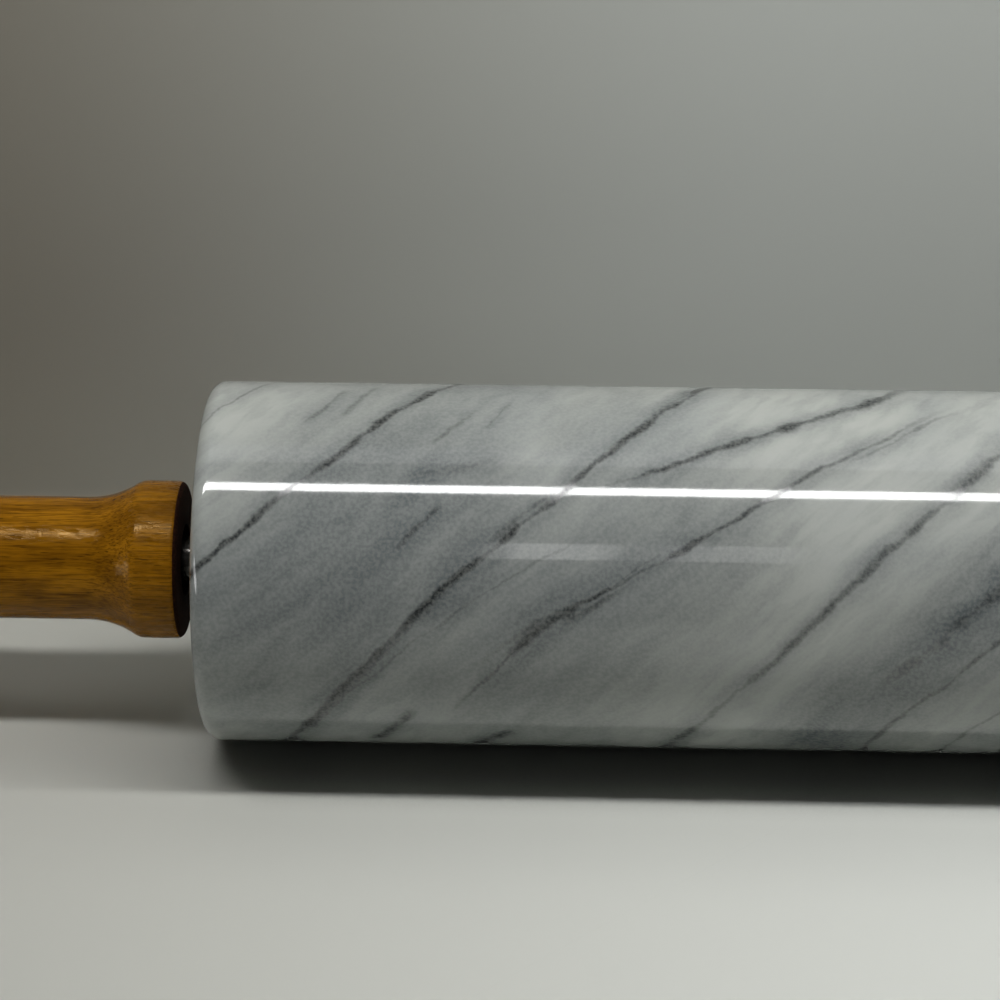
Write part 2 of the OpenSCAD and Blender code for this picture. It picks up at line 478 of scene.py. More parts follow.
@dataclass(frozen=True)
class PolishedMarble(Finish):
    """White marble with grey bedding, sawn, turned and polished: a lamp shows in it as a clear white line."""

    radius: float
    veins: tuple[Vein, ...]
    white: str = "#B9BCB6"
    grey: str = "#94999A"
    smoke: str = "#5E6466"
    ink: str = "#202426"
    lean: float = 0.95
    slant: float = 0.5
    soft_gloss: float = 0.2
    ripple: float = 0.004

    def vein_group(self) -> Tree:
        """Makes the group that lays one vein over those laid so far.

        Returns:
            The group.
        """
        tree = bpy.data.node_groups.new("Vein", "ShaderNodeTree")
        for label in ("Point", "Sheet", "Middle"):
            tree.interface.new_socket(label, in_out="INPUT", socket_type="NodeSocketVector")
        for label in ("Lines", "Hazes", "Patchy", "At", "Core", "Dark", "Halo", "Haze", "Reach"):
            tree.interface.new_socket(label, in_out="INPUT", socket_type="NodeSocketFloat")
        for label in ("Lines", "Hazes"):
            tree.interface.new_socket(label, in_out="OUTPUT", socket_type="NodeSocketFloat")
        given = add_node(tree, "NodeGroupInput").outputs
        point, patchy = given["Point"], given["Patchy"]
        across = add_node(tree, "ShaderNodeVectorMath", {
            0: point, 1: given["Sheet"],
        }, operation="DOT_PRODUCT")
        offset = add_node(tree, "ShaderNodeMath", {0: across, 1: given["At"]}, operation="SUBTRACT")
        away = add_node(tree, "ShaderNodeMath", {0: offset}, operation="ABSOLUTE")
        gone = add_node(tree, "ShaderNodeVectorMath", {0: point, 1: given["Middle"]}, operation="DISTANCE")
        left = add_node(tree, "ShaderNodeMath", {0: gone, 1: given["Reach"]}, operation="DIVIDE")
        near = add_node(tree, "ShaderNodeMapRange", {
            "Value": left, "From Min": 1.0, "From Max": 0.5,
        }, interpolation_type="SMOOTHSTEP")
        strength = add_node(tree, "ShaderNodeMath", {0: given["Dark"], 1: patchy}, operation="MULTIPLY")
        width = add_node(tree, "ShaderNodeMath", {0: given["Core"], 1: patchy}, operation="MULTIPLY")
        laid = {}
        for total, reach, amount in (("Lines", width, strength), ("Hazes", given["Halo"], given["Haze"])):
            share = add_node(tree, "ShaderNodeMath", {0: away, 1: reach}, operation="DIVIDE")
            shown = add_node(tree, "ShaderNodeMapRange", {
                "Value": share, "From Min": 1.0, "From Max": 0.1, "To Max": amount,
            }, interpolation_type="SMOOTHSTEP")
            here = add_node(tree, "ShaderNodeMath", {0: shown, 1: near}, operation="MULTIPLY")
            laid[total] = add_node(tree, "ShaderNodeMix", {"Factor": here, "A": given[total], "B": 1.0})
        add_node(tree, "NodeGroupOutput", laid)
        return tree

    def dress(self, tree: Tree, shader: Node, point: Node) -> None:
        """Gives the stone its bedding, its veins, its crystal and its polish.

        Args:
            tree: The material's tree.
            shader: The main shader.
            point: The point on the object in millimetres.
        """
        # Folds in the rock bend every sheet: broad ones, and small rough ones that fray the lines.
        warped = point
        half = (0.5, 0.5, 0.5)
        broad = Pattern((38.0, 38.0, 38.0), detail=2.0)
        small = Pattern((7.0, 7.0, 7.0), detail=5.0, rough=0.65)
        for fold, reach in ((broad, 4.5), (small, 2.2)):
            wave = fold.noise(tree, point).outputs["Color"]
            centred = add_node(tree, "ShaderNodeVectorMath", {0: wave, 1: half}, operation="SUBTRACT")
            warped = add_node(tree, "ShaderNodeVectorMath", {
                0: centred, 1: (reach, reach, reach), 2: warped,
            }, operation="MULTIPLY_ADD")
        # Bedding is drawn twice as long along the beds as across them.
        normal = (1.0, -self.slant, -self.lean)
        bed = add_node(tree, "ShaderNodeVectorMath", {0: warped, 1: normal}, operation="DOT_PRODUCT")
        layered = add_node(tree, "ShaderNodeVectorMath", {
            0: warped, 1: (0.0, 0.5, 0.5), 2: add_node(tree, "ShaderNodeCombineXYZ", {"X": bed}),
        }, operation="MULTIPLY_ADD")
        clouds = Pattern((30.0, 30.0, 30.0), 0.35, 0.75, most=0.3, detail=4.0)
        bands = Pattern((14.0, 12.0, 12.0), 0.42, 0.72, most=0.4)
        wisps = Pattern((3.5, 6.0, 6.0), 0.48, 0.72, most=0.15, detail=4.0)
        mottle = Pattern((3.0, 3.0, 3.0), 0.4, 0.7, most=0.2, detail=5.0)
        colour = self.tint(tree, warped, linear(self.white), (clouds, self.grey))
        colour = self.tint(tree, layered, colour, (bands, self.grey), (wisps, self.smoke))
        colour = self.tint(tree, layered, colour, (mottle, self.smoke))
        # Veins are one group laid again and again, each over the last.
        patchy = Pattern((6.0, 6.0, 6.0), 0.32, 0.6, least=0.45).add(tree, point)
        group = self.vein_group()
        laid = {"Lines": 0.0, "Hazes": 0.0}
        for vein in self.veins:
            inputs = {"Point": warped, "Patchy": patchy, **laid, **vein.values(self.radius)}
            one = add_node(tree, "ShaderNodeGroup", inputs, node_tree=group)
            laid = {total: one.outputs[total] for total in laid}
        cloudy = Pattern((5.0, 5.0, 5.0), 0.3, 0.7, least=0.7, detail=4.0).add(tree, layered)
        hazes = add_node(tree, "ShaderNodeMath", {0: laid["Hazes"], 1: cloudy}, operation="MULTIPLY")
        for share, mineral in ((hazes, self.smoke), (laid["Lines"], self.ink)):
            colour = add_node(tree, "ShaderNodeMix", {
                "Factor": share, "A": colour, "B": linear(mineral),
            }, data_type="RGBA")
        # Crystals are about half a millimetre across.
        crystal = Pattern((0.6, 0.6, 0.6), most=0.2, detail=2.0)
        colour = self.tint(tree, point, colour, (crystal, self.white))
        # The softer mineral of a vein takes less polish, so it nicks the lamp's reflection.
        gloss = Pattern((0.9, 0.9, 0.9), least=0.05, most=0.09, detail=2.0).add(tree, point)
        dulled = add_node(tree, "ShaderNodeMix", {"Factor": laid["Lines"], "A": gloss, "B": self.soft_gloss})
        waves = Pattern((5.0, 5.0, 5.0), 0.0, 1.0).add(tree, point)
        relief = add_node(tree, "ShaderNodeBump", {"Height": waves, "Distance": self.ripple * MM})
        fill(shader, {"Base Color": colour, "Roughness": dulled, "IOR": 1.6, "Normal": relief})


@dataclass(frozen=True)
class LacqueredWood(Finish):
    """Turned hardwood, stained honey brown under a brushed lacquer, which shines softly and unevenly."""

    light: str = "#A46E12"
    mid: str = "#7C5006"
    dark: str = "#553203"
    pore: str = "#2A1502"
    amber: str = "#FFD490"
    heart: Size = (0.0, -30.0, 22.0)
    ring: float = 4.6
    sway: float = 6.0
    brush_mark: float = 0.09
    worn_within: float = 142.0
    worn_over: float = 6.0
    wear: float = 0.1

    def dress(self, tree: Tree, shader: Node, point: Node) -> None:
        """Gives the wood its year rings, grain and pores, and its lacquer.

        Args:
            tree: The material's tree.
            shader: The main shader.
            point: The point on the object in millimetres.
        """
        # Year rings lie round a heart beside the handle and sway along it.
        bends = Pattern((60.0, 14.0, 14.0), detail=2.0).noise(tree, point).outputs["Color"]
        bent = add_node(tree, "ShaderNodeVectorMath", {
            0: bends, 1: (self.sway, self.sway, self.sway), 2: point,
        }, operation="MULTIPLY_ADD")
        centred = add_node(tree, "ShaderNodeVectorMath", {0: bent, 1: self.heart}, operation="SUBTRACT")
        flat = add_node(tree, "ShaderNodeVectorMath", {0: centred, 1: (0.02, 1.0, 1.0)}, operation="MULTIPLY")
        far = add_node(tree, "ShaderNodeVectorMath", {0: flat}, operation="LENGTH")
        turns = add_node(tree, "ShaderNodeMath", {0: far, 1: math.tau / self.ring}, operation="MULTIPLY")
        rings = add_node(tree, "ShaderNodeMath", {0: turns}, operation="SINE")
        late = add_node(tree, "ShaderNodeMapRange", {
            "Value": rings, "From Min": -0.2, "From Max": 1.0, "To Max": 0.6,
        }, interpolation_type="SMOOTHSTEP")
        colour = add_node(tree, "ShaderNodeMix", {
            "Factor": late, "A": linear(self.light), "B": linear(self.mid),
        }, data_type="RGBA")
        # Fibres are finer than this in such wood, and are drawn about twice as coarse so that they show.
        grain = Pattern((12.0, 0.45, 0.45), 0.42, 0.7, most=0.55, detail=4.0)
        fibres = Pattern((4.0, 0.25, 0.25), 0.45, 0.68, most=0.6, detail=2.0)
        blotch = Pattern((9.0, 4.0, 4.0), 0.42, 0.72, most=0.55, detail=4.0)
        pores = Pattern((4.5, 0.28, 0.28), 0.6, 0.72, most=0.7, detail=2.0)
        colour = self.tint(tree, point, colour, (grain, self.dark), (fibres, self.dark))
        colour = self.tint(tree, point, colour, (blotch, self.dark), (pores, self.pore))
        # Brush marks and dust in the lacquer break its shine, and wiping has dulled it near the barrel. Under
        # it, the lathe tool has left faint rings.
        brushed = Pattern((2.0, 0.7, 0.7), 0.35, 0.6, least=0.05, most=0.24, detail=4.0).add(tree, point)
        apart = add_node(tree, "ShaderNodeSeparateXYZ", {0: point})
        along = add_node(tree, "ShaderNodeMath", {0: apart.outputs["X"]}, operation="ABSOLUTE")
        worn = add_node(tree, "ShaderNodeMapRange", {
            "Value": along, "From Min": self.worn_within, "From Max": self.worn_within - self.worn_over,
            "To Max": self.wear,
        }, interpolation_type="SMOOTHSTEP")
        dull = add_node(tree, "ShaderNodeMath", {0: brushed, 1: worn}, operation="ADD")
        tool = Pattern((1.6, 400.0, 400.0), 0.0, 1.0, most=0.1, detail=2.0).add(tree, point)
        height = add_node(tree, "ShaderNodeMath", {0: brushed, 1: tool}, operation="ADD")
        relief = add_node(tree, "ShaderNodeBump", {"Height": height, "Distance": self.brush_mark * MM})
        fill(shader, {
            "Base Color": colour, "Roughness": dull, "Specular IOR Level": 0.3, "Normal": relief,
            "Specular Tint": linear(self.amber),
        })


@dataclass(frozen=True)
class EndGrainWithPaintedShade(Finish):
    """Sawn end grain that drank the stain and was left without lacquer, so it is dull; its near-black colour
    is partly that stain and partly painted shade of the narrow gap by the barrel.
    """

    # Partly painted shade: the end grain is drawn near black for the shade in the gap by the barrel.
    dark: str = "#22100A"
    light: str = "#3A2012"

    def dress(self, tree: Tree, shader: Node, point: Node) -> None:
        """Gives the end grain the cut ends of its fibres.

        Args:
            tree: The material's tree.
            shader: The main shader.
            point: The point on the object in millimetres.
        """
        fibres = Pattern((400.0, 0.35, 0.35), 0.4, 0.7)
        colour = self.tint(tree, point, linear(self.dark), (fibres, self.light))
        relief = add_node(tree, "ShaderNodeBump", {"Height": fibres.add(tree, point), "Distance": 0.05 * MM})
        fill(shader, {"Base Color": colour, "Roughness": 0.85, "Specular IOR Level": 0.1, "Normal": relief})


@dataclass(frozen=True)
class MachinedMetal(Finish):
    """Metal with the fine lines that its tool leaves, which draw its shine out across them."""

    colour: str
    worn: str
    roughness: float
    lines: Size

    def dress(self, tree: Tree, shader: Node, point: Node) -> None:
        """Gives the metal its stains and its tool lines.

        Args:
            tree: The material's tree.
            shader: The main shader.
            point: The point on the object in millimetres.
        """
        stain = Pattern((6.0, 6.0, 6.0), 0.4, 0.75, detail=4.0)
        colour = self.tint(tree, point, linear(self.colour), (stain, self.worn))
        tool = Pattern(self.lines, 0.2, 0.8, self.roughness * 0.7, self.roughness * 1.3).add(tree, point)
        relief = add_node(tree, "ShaderNodeBump", {"Height": tool, "Distance": 0.02 * MM})
        fill(shader, {"Base Color": colour, "Metallic": 1.0, "Roughness": tool, "Normal": relief})


@dataclass(frozen=True)
class MouldedNylon(Finish):
    """Natural nylon, moulded, which is milky and slightly mottled."""

    colour: str = "#DDD8C8"
    shade: str = "#C6BFA9"

    def dress(self, tree: Tree, shader: Node, point: Node) -> None:
        """Gives the nylon its mottling and its satin skin.

        Args:
            tree: The material's tree.
            shader: The main shader.
            point: The point on the object in millimetres.
        """
        cloud = Pattern((3.0, 3.0, 3.0), 0.35, 0.7)
        colour = self.tint(tree, point, linear(self.colour), (cloud, self.shade))
        skin = Pattern((0.25, 0.25, 0.25), 0.2, 0.8, 0.38, 0.5, detail=2.0).add(tree, point)
        relief = add_node(tree, "ShaderNodeBump", {"Height": skin, "Distance": 0.05 * MM})
        fill(shader, {
            "Base Color": colour, "Roughness": skin, "IOR": 1.53, "Normal": relief,
            "Subsurface Weight": 0.15, "Subsurface Radius": (0.002, 0.0016, 0.001),
        })


def looked_at(tree: Tree, mirrored_share: float) -> Node:
    """Tells light that makes the picture from light that goes on to the object.

    Args:
        tree: The tree of a material or of the world.
        mirrored_share: What counts for a look by way of a shiny or clear surface.

    Returns:
        1 where the camera looks at the place, the share where it does so in a mirror, and 0 otherwise.
    """
    path = add_node(tree, "ShaderNodeLightPath").outputs
    mirrored = add_node(tree, "ShaderNodeMath", {0: path["Is Glossy Ray"], 1: path["Is Transmission Ray"]})
    shared = add_node(tree, "ShaderNodeMath", {0: mirrored, 1: mirrored_share}, operation="MULTIPLY")
    return add_node(tree, "ShaderNodeMath", {0: path["Is Camera Ray"], 1: shared}, operation="MAXIMUM")


@dataclass(frozen=True)
class StudioPaper(Finish):
    """Matt paper for the floor and the wall, with painted shade that darkens it towards the left, which turns
    pale far out.

    Light that goes on to the object meets the dimmer bounce colour, so that the paper doesn't wash out the
    shadow under the barrel, and the paper can carry painted shade where the object hides the room from it. It
    can't be seen from behind, and dissolves between two heights.
    """

    colour: str
    left: str
    bounce: str
    pale: str
    painted_shade_reach: float = 0.0
    closed: float = 0.34
    open: float = 0.66
    darkest_painted_shade: float = 0.35
    left_at: float = -220.0
    right_at: float = 40.0
    near: float = 300.0
    far: float = 700.0
    dissolve_from: float = 200.0
    dissolve_to: float = 300.0
    mirror_strength: float = 0.2

    def dress(self, tree: Tree, shader: Node, point: Node) -> None:
        """Gives the paper its two colours, its painted shade towards the left and where the object is near,
        its pale distance and its dissolving top.

        Args:
            tree: The material's tree.
            shader: The main shader.
            point: The point on the object in millimetres.
        """
        apart = add_node(tree, "ShaderNodeSeparateXYZ", {0: point}).outputs
        # Painted shade: the colour darkens from its own towards the left colour, where less lamp light falls.
        along = add_node(tree, "ShaderNodeMapRange", {
            "Value": apart["X"], "From Min": self.left_at, "From Max": self.right_at,
        }, interpolation_type="SMOOTHSTEP")
        shaded_tone = add_node(tree, "ShaderNodeMix", {
            "Factor": along, "A": linear(self.left), "B": linear(self.colour),
        }, data_type="RGBA")
        # Painted shade: ambient occlusion darkens the colour where the object hides the room from the paper,
        # as under the barrel.
        if self.painted_shade_reach:
            room = add_node(tree, "ShaderNodeAmbientOcclusion", {"Distance": self.painted_shade_reach * MM}, samples=8)
            painted_shade_share = add_node(tree, "ShaderNodeMapRange", {
                "Value": room.outputs["AO"], "From Min": self.closed, "From Max": self.open,
                "To Min": self.darkest_painted_shade,
            })
            shaded_tone = add_node(tree, "ShaderNodeVectorMath", {0: shaded_tone, "Scale": painted_shade_share}, operation="SCALE")
        colour = add_node(tree, "ShaderNodeMix", {
            "Factor": looked_at(tree, 1.0), "A": linear(self.bounce), "B": shaded_tone,
        }, data_type="RGBA")
        fill(shader, {"Base Color": colour, "Roughness": 0.85, "Specular IOR Level": 0.2})
        flat = add_node(tree, "ShaderNodeVectorMath", {0: point, 1: (1.0, 1.0, 0.0)}, operation="MULTIPLY")
        away = add_node(tree, "ShaderNodeVectorMath", {0: flat}, operation="LENGTH")
        distant = add_node(tree, "ShaderNodeMapRange", {
            "Value": away, "From Min": self.near, "From Max": self.far,
            "To Max": looked_at(tree, self.mirror_strength),
        }, interpolation_type="SMOOTHSTEP")
        pale = add_node(tree, "ShaderNodeEmission", {"Color": linear(self.pale)})
        paper = add_node(tree, "ShaderNodeMixShader", {0: distant, 1: shader, 2: pale})
        gone = add_node(tree, "ShaderNodeMapRange", {
            "Value": apart["Z"], "From Min": self.dissolve_from, "From Max": self.dissolve_to,
        }, interpolation_type="SMOOTHSTEP")
        behind = add_node(tree, "ShaderNodeNewGeometry").outputs["Backfacing"]
        clear = add_node(tree, "ShaderNodeMath", {0: gone, 1: behind}, operation="MAXIMUM")
        hidden = add_node(tree, "ShaderNodeBsdfTransparent")
        mix = add_node(tree, "ShaderNodeMixShader", {0: clear, 1: paper, 2: hidden})
        fill(next(n for n in tree.nodes if n.type == "OUTPUT_MATERIAL"), {"Surface": mix})


# Sub-assemblies

def corners(node: str) -> tuple[Vector, Vector]:
    """A CAD node's lowest and highest corners at rest, in millimetres."""
    low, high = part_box(node)
    return Vector(low) / MM, Vector(high) / MM


def dress_node(name: str, material: Material) -> None:
    """Gives a CAD node a new material in every slot.

    Args:
        name: The node's name.
        material: The material.
    """
    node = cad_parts[name]
    for slot in node.material_slots:
        slot.material = material
    report(node)


def report(piece: Piece) -> None:
    """Writes one line on a finished piece to the log."""
    log.info("%s: %d faces, %s", piece.name, len(piece.data.polygons), piece.data.materials[0].name)


@dataclass
class Barrel:
    """The stone barrel with the nylon bushing in each of its ends."""

    half: float
    radius: float
    edge: float = 2.5
    bore: float = 8.0
    seat: float = 11.0
    seat_depth: float = 2.0
    arris: float = 0.5
    facets: int = 256

    def outline(self) -> Outline:
        """Draws the barrel's half section.

        Returns:
            The outline, which goes along the bore, over one end, along the barrel and over the other end.
        """
        drawn = Outline()
        flat = self.half - self.edge
        rim = self.radius - self.edge
        seat_floor = self.half - self.seat_depth
        drawn.line((-seat_floor, self.bore), (seat_floor, self.bore), (seat_floor, self.seat))
        drawn.line((self.half - self.arris, self.seat), (self.half, self.seat + self.arris), (self.half, rim))
        drawn.arc((flat, rim), (flat, self.radius))
        drawn.line((-flat, self.radius))
        drawn.arc((-flat, rim), (-self.half, rim))
        drawn.line((-self.half, self.seat + self.arris), (self.arris - self.half, self.seat))
        drawn.line((-seat_floor, self.seat))
        return drawn

    def build(self, lathe: Tree, stone: Material, nylon: Material) -> None:
        """Builds and dresses the barrel.

        Args:
            lathe: The lathe tree.
            stone: The marble.
            nylon: The bushings' nylon.
        """
        piece = self.outline().turn("barrel_stone", lathe, self.facets, stone)
        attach(piece, "barrel")
        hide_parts("marble_barrel")
        report(piece)
        for end in End:
            dress_node("bushing_" + end.word, nylon)


@dataclass
class Axle:
    """The steel rod with its threads, thrust washers and retaining rings."""

    thread_from: float
    rod_end: float
    chamfer: float = 1.3
    thread_radius: float = 3.6
    ridge: float = 0.35
    pitch: float = 1.25
    foot_share: float = 0.45

    def thread(self, end: End, tree: Tree, steel: Material) -> None:
        """Winds the thread on one end of the rod.

        Args:
            end: The end.
            tree: The thread tree.
            steel: The rod's steel.
        """
        foot = self.pitch * self.foot_share
        section = bpy.data.meshes.new("thread.section")
        corner = [(-foot, -self.ridge), (foot, -self.ridge), (0.0, self.ridge)]
        section.from_pydata([(x * MM, y * MM, 0) for x, y in corner], [(0, 1), (1, 2), (2, 0)], [])
        thread_to = self.rod_end - self.chamfer
        length = thread_to - self.thread_from
        piece = grow("rod_thread_" + end.word, section, tree, {
            "Turns": length / self.pitch, "Radius": self.thread_radius * MM, "Length": length * MM,
            "Finish": steel,
        })
        start = self.thread_from if end is End.RIGHT else -thread_to
        piece.data.transform(Matrix.Translation((start * MM, 0, 0)))
        smooth(piece)
        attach(piece, "axle")
        report(piece)

    def build(self, tree: Tree, steel: Material, washer: Material, spring: Material) -> None:
        """Builds and dresses the rod and what sits on it.

        Args:
            tree: The thread tree.
            steel: The rod's steel.
            washer: The washers' steel.
            spring: The rings' spring steel.
        """
        dress_node("axle_rod", steel)
        for end in End:
            self.thread(end, tree, steel)
            dress_node("thrust_washer_" + end.word, washer)
            dress_node("retaining_ring_" + end.word, spring)


@dataclass
class Handle:
    """One turned wooden handle with the brass insert that screws on to the rod."""

    end: End
    inner_face: float
    length: float
    collar: float = 13.15
    collar_length: float = 6.3
    collar_edge: float = 1.2
    shoulder: float = 3.5
    cove: float = 10.0
    neck: float = 10.25
    neck_length: float = 18.0
    grip: float = 13.5
    grip_end: float = 32.7
    swell_bulge: float = 0.43
    taper: float = 90.0
    dome: float = 22.0
    end_roll: float = 5.0
    socket: float = 6.0
    socket_depth: float = 24.5
    tip: float = 4.3
    tip_depth: float = 30.0
    drill_point: float = 2.6
    facets: int = 192

    def grip_tip(self, drawn: Outline, crest: float) -> None:
        """Draws the grip's long taper, its rolled edge and its dome.

        Args:
            drawn: The outline so far.
            crest: Where along the handle the grip is thickest.
        """
        taper_at = Vector((crest, self.grip - self.taper))
        dome_at = Vector((self.length - self.dome, 0))
        inner_dome, inner_taper = self.dome - self.end_roll, self.taper - self.end_roll
        between = taper_at - dome_at
        apart = between.length
        along = (apart ** 2 + inner_dome ** 2 - inner_taper ** 2) / (2 * apart)
        aside = math.sqrt(inner_dome ** 2 - along ** 2)
        roll_at = dome_at + (between * along + Vector((-between.y, between.x)) * aside) / apart
        on_taper = taper_at + (roll_at - taper_at) * self.taper / inner_taper
        on_dome = dome_at + (roll_at - dome_at) * self.dome / inner_dome
        drawn.arc(tuple(taper_at), tuple(on_taper))
        drawn.arc(tuple(roll_at), tuple(on_dome))
        drawn.arc(tuple(dome_at), (self.length, 0.0))

    def outline(self) -> Outline:
        """Draws the handle's half section, outwards from its inner face.

        Returns:
            The outline, which goes out of the drilled hole and over the handle to the middle of its dome.
        """
        drawn = Outline()
        drawn.line((self.tip_depth + self.drill_point, 0.0), (self.tip_depth, self.tip))
        drawn.line((self.socket_depth, self.tip), (self.socket_depth, self.socket), (0.0, self.socket))
        drawn.line((0.0, self.collar - self.collar_edge))
        drawn.arc((self.collar_edge, self.collar - self.collar_edge), (self.collar_edge, self.collar))
        drawn.line((self.collar_length, self.collar))
        neck_from = self.collar_length + self.cove
        drawn.s_curve((neck_from, self.neck), self.shoulder)
        neck_to = neck_from + self.neck_length
        drawn.line((neck_to, self.neck))
        crest = self.length - self.grip_end
        run, rise = crest - neck_to, self.grip - self.neck
        both = (run * run + rise * rise) / (2 * rise)
        drawn.s_curve((crest, self.grip), self.swell_bulge * both)
        self.grip_tip(drawn, crest)
        return drawn

    def bare_faces(self, piece: Piece, bare: Material) -> None:
        """Leaves the inner face and the drilled hole without lacquer, in the near-black end grain that is
        partly painted shade.

        Args:
            piece: The handle.
            bare: The bare wood.
        """
        piece.data.materials.append(bare)
        face = (self.inner_face + self.collar_edge / 2) * MM
        for side in piece.data.polygons:
            across = math.hypot(side.center.y, side.center.z)
            in_hole = across < self.socket * MM and abs(side.normal.x) < 0.5
            if abs(side.center.x) < face or in_hole:
                side.material_index = 1

    def build(self, lathe: Tree, wood: Material, bare: Material, brass: Material) -> None:
        """Builds and dresses the handle.

        Args:
            lathe: The lathe tree.
            wood: The lacquered wood.
            bare: The wood of the inner face and the drilled hole, near black, partly as painted shade.
            brass: The insert's brass.
        """
        word, way = self.end.word, self.end.value
        piece = self.outline().turn(
            f"handle_{word}_wood", lathe, self.facets, wood, lambda x: way * (self.inner_face + x),
        )
        self.bare_faces(piece, bare)
        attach(piece, "axle")
        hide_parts("handle_" + word)
        report(piece)
        dress_node("handle_insert_" + word, brass)


# Studio

@dataclass(frozen=True)
class Lamp:
    """One flat lamp, in metres, at so many degrees above the table's front as seen from the rod.

    It faces the rod where it hangs, or at its aim.
    """

    name: str
    x: float
    elevation: float
    distance: float
    size: Point
    watts: float
    aim: float | None = None

    def hang(self) -> None:
        """Hangs the lamp. It lights and shows in reflections, but the camera doesn't see it."""
        angle = math.radians(self.elevation)
        place = Vector((self.x, -math.cos(angle) * self.distance, math.sin(angle) * self.distance))
        data = bpy.data.lights.new(self.name, "AREA")
        data.shape = "RECTANGLE"
        data.size, data.size_y = self.size
        data.energy = self.watts
        lamp = bpy.data.objects.new(self.name, data)
        lamp.location = place
        facing = Vector((self.x if self.aim is None else self.aim, 0, 0)) - place
        lamp.rotation_euler = facing.to_track_quat("-Z", "Y").to_euler()
        lamp.visible_camera = False
        bpy.context.scene.collection.objects.link(lamp)


@dataclass
class Studio:
    """A pale floor, a low wall close behind the barrel, lamps over and beside it, and the camera."""

    floor_at: float
    pale: str = "#C9CBC5"
    floor_reach: float = 12000.0
    wall_foot: float = 45.0
    foot_radius: float = 13.0
    foot_parts: int = 16
    wall_reach: float = 2500.0
    wall_top: float = 300.0
    fill_strength: float = 0.012
    mirror_strength: float = 0.2
    aim: Size = (-78.67, 0.0, 12.17)
    distance: float = 560.0
    azimuth: float = -2.68
    elevation: float = 28.0
    roll: float = -0.4
    lens: float = 122.3
    lamps: tuple[Lamp, ...] = (
        Lamp("strip", 0.54, 74.6, 0.33, (1.7, 0.028), 2.9),
        Lamp("soffit", 0.35, 105.0, 0.45, (1.1, 0.2), 0.5),
        Lamp("right_glow", 0.45, 68.6, 0.5, (0.6, 0.06), 0.08),
        Lamp("left_fill", -0.9, 4.0, 0.25, (0.4, 0.12), 0.7, aim=-0.127),
        Lamp("pane_left", -0.111, 37.5, 1.0, (0.055, 0.17), 0.055),
        Lamp("pane_right", -0.026, 37.5, 1.0, (0.065, 0.17), 0.04),
    )

    def sheet(self, name: str, section: list[Point], reach: float, paper: StudioPaper) -> Piece:
        """Makes one sheet of paper, which runs along X.

        Args:
            name: The sheet's name.
            section: The sheet's points in millimetres, back and up.
            reach: How far it runs to each side.
            paper: Its finish.

        Returns:
            The sheet.
        """
        points = [(x * MM, y * MM, z * MM) for y, z in section for x in (-reach, reach)]
        faces = [(2 * i, 2 * i + 1, 2 * i + 3, 2 * i + 2) for i in range(len(section) - 1)]
        mesh = bpy.data.meshes.new(name)
        mesh.from_pydata(points, [], faces)
        mesh.shade_smooth()
        mesh.materials.append(paper.material())
        sheet = bpy.data.objects.new(name, mesh)
        bpy.context.scene.collection.objects.link(sheet)
        return sheet

    def build_paper(self) -> None:
        """Lays the floor, and stands the wall with its curved foot on it, where it throws no shadow."""
        floor = [(-self.floor_reach, self.floor_at), (self.floor_reach, self.floor_at)]
        # The floor's left colour is painted shade where less lamp light falls, and its darkening near the
        # object is painted shade too.
        paper = StudioPaper("matt_floor_paper", "#DEE0DA", "#C2C2BA", "#C8CAC4", self.pale, painted_shade_reach=16.0)
        self.sheet("floor", floor, self.floor_reach, paper)
        wall = []
        for i in range(self.foot_parts + 1):
            angle = math.pi / 2 * i / self.foot_parts
            back = self.wall_foot + self.foot_radius * math.sin(angle)
            wall.append((back, self.floor_at + self.foot_radius * (1 - math.cos(angle))))
        wall.append((wall[-1][0], self.wall_top))
        # The wall's left colour is painted shade, darker and warmer beside the handle, with a painted warm
        # bounce from the wood.
        paper = StudioPaper(
            "matt_wall_paper", "#BFC2BD", "#868175", "#C4C5C0", self.pale, left_at=-200.0, right_at=-20.0,
        )
        self.sheet("wall", wall, self.wall_reach, paper).visible_shadow = False

    def build_world(self) -> None:
        """Makes the surroundings pale to the camera, dim in mirrors, and a weak fill for the rest."""
        world = bpy.data.worlds.new("surroundings")
        world.use_nodes = True
        tree = world.node_tree
        seen = looked_at(tree, self.mirror_strength)
        strength = add_node(tree, "ShaderNodeMath", {0: seen, 1: self.fill_strength}, operation="MAXIMUM")
        shade = next(n for n in tree.nodes if n.type == "BACKGROUND")
        fill(shade, {"Color": linear(self.pale), "Strength": strength})
        bpy.context.scene.world = world

    def build_camera(self) -> None:
        """Sets up the camera at the photograph's angle."""
        a, e, roll = (math.radians(v) for v in (self.azimuth, self.elevation, self.roll))
        ahead = Vector((math.sin(a) * math.cos(e), math.cos(a) * math.cos(e), -math.sin(e)))
        level = Vector((math.cos(a), -math.sin(a), 0))
        upright = level.cross(ahead)
        right = math.cos(roll) * level + math.sin(roll) * upright
        up = math.cos(roll) * upright - math.sin(roll) * level
        data = bpy.data.cameras.new("camera")
        data.lens = self.lens
        data.sensor_width = 36.0
        data.clip_start, data.clip_end = 0.01, 50.0
        camera = bpy.data.objects.new("camera", data)
        turn = Matrix((right, up, -ahead)).transposed().to_4x4()
        camera.matrix_world = Matrix.Translation((Vector(self.aim) - ahead * self.distance) * MM) @ turn
        bpy.context.scene.collection.objects.link(camera)
        bpy.context.scene.camera = camera

    def build(self) -> None:
        """Builds the whole studio."""
        self.build_paper()
        self.build_world()
        self.build_camera()
        for lamp in self.lamps:
            lamp.hang()
